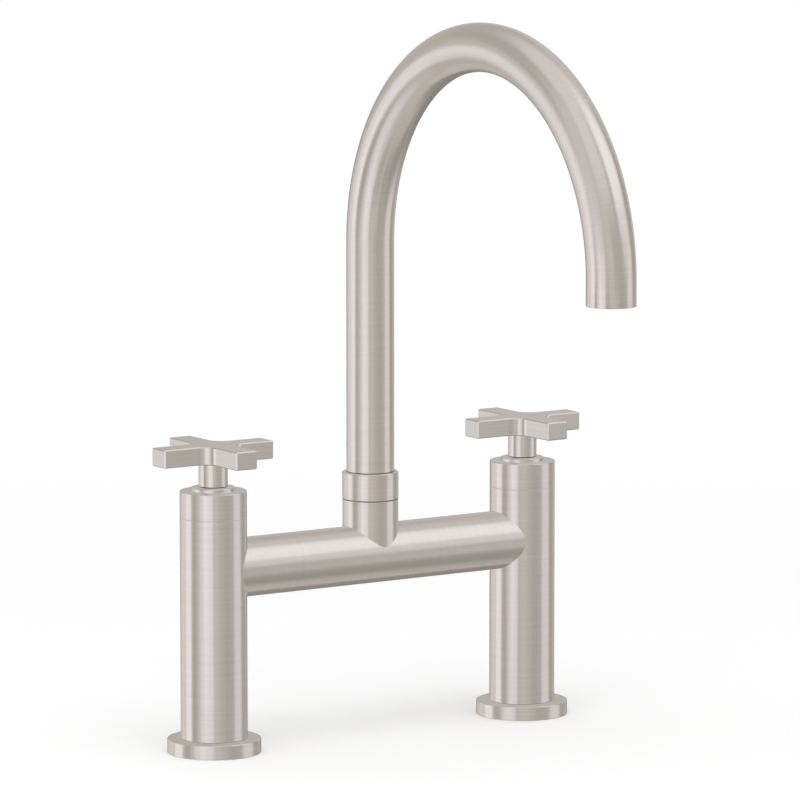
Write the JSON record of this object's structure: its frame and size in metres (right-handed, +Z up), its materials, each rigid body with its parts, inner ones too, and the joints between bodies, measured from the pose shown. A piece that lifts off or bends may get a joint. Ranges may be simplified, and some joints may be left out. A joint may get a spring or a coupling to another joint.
{
  "type": "bridge kitchen faucet",
  "caption": "Deck-mounted bridge kitchen faucet: round columns with cross handles, a bridge tube between them and a swivelling gooseneck spout, in satin brushed nickel.",
  "frame": {"origin": "on the deck plane, midway between the two columns' axes and under the riser's axis", "axes": "+Z up along the riser, +X along the bridge from the hot column to the cold one, -Y towards the spout's outlet"},
  "size_m": [0.2724, 0.2744, 0.3995],
  "materials": {
    "brushed_nickel": "satin brushed nickel plating on brass",
    "brass": "turned brass, unplated",
    "copper_tube": "drawn copper tube",
    "stainless": "stainless steel",
    "ceramic": "lapped alumina ceramic",
    "rubber": "moulded rubber",
    "plastic": "moulded acetal"
  },
  "bodies": {
    "faucet_body": {"hot_base_flange": "brushed_nickel", "hot_base_gasket": "rubber", "hot_inlet_adapter": "brass", "hot_supply_tube": "copper_tube", "hot_column_shell": "brushed_nickel", "hot_valve_body": "brass", "hot_seat_seal": "rubber", "hot_fixed_disc": "ceramic", "hot_cartridge_body": "brass", "hot_cartridge_nut": "brass", "hot_column_cap": "brushed_nickel", "hot_bridge_union": "brass", "hot_union_o_ring": "rubber", "cold_base_flange": "brushed_nickel", "cold_base_gasket": "rubber", "cold_inlet_adapter": "brass", "cold_supply_tube": "copper_tube", "cold_column_shell": "brushed_nickel", "cold_valve_body": "brass", "cold_seat_seal": "rubber", "cold_fixed_disc": "ceramic", "cold_cartridge_body": "brass", "cold_cartridge_nut": "brass", "cold_column_cap": "brushed_nickel", "cold_bridge_union": "brass", "cold_union_o_ring": "rubber", "bridge_tube": "brushed_nickel", "spout_boss": "brushed_nickel", "retaining_screw": "stainless", "swivel_washer": "plastic"},
    "hot_handle": {"hot_moving_disc": "ceramic", "hot_spindle": "brass", "hot_spindle_o_ring": "rubber", "hot_handle_stem": "brushed_nickel", "hot_handle_screw": "stainless", "hot_cross_handle": "brushed_nickel"},
    "cold_handle": {"cold_moving_disc": "ceramic", "cold_spindle": "brass", "cold_spindle_o_ring": "rubber", "cold_handle_stem": "brushed_nickel", "cold_handle_screw": "stainless", "cold_cross_handle": "brushed_nickel"},
    "spout": {"spout_spigot": "brass", "spigot_o_ring_lower": "rubber", "spigot_o_ring_upper": "rubber", "spout_collar": "brushed_nickel", "spout_tube": "brushed_nickel", "aerator_housing": "plastic", "aerator_insert": "plastic", "aerator_washer": "rubber"}
  },
  "joints": [
    {"name": "spout_swivel", "type": "hinge", "parent": "faucet_body", "child": "spout", "pos_m": [0, 0, 0.131], "axis": [0, 0, 1], "continuous": true},
    {"name": "hot_valve_turn", "type": "hinge", "parent": "faucet_body", "child": "hot_handle", "pos_m": [-0.1016, 0, 0.15], "axis": [0, 0, 1], "range_deg": [0, 90]},
    {"name": "cold_valve_turn", "type": "hinge", "parent": "faucet_body", "child": "cold_handle", "pos_m": [0.1016, 0, 0.15], "axis": [0, 0, 1], "range_deg": [-90, 0]}
  ]
}
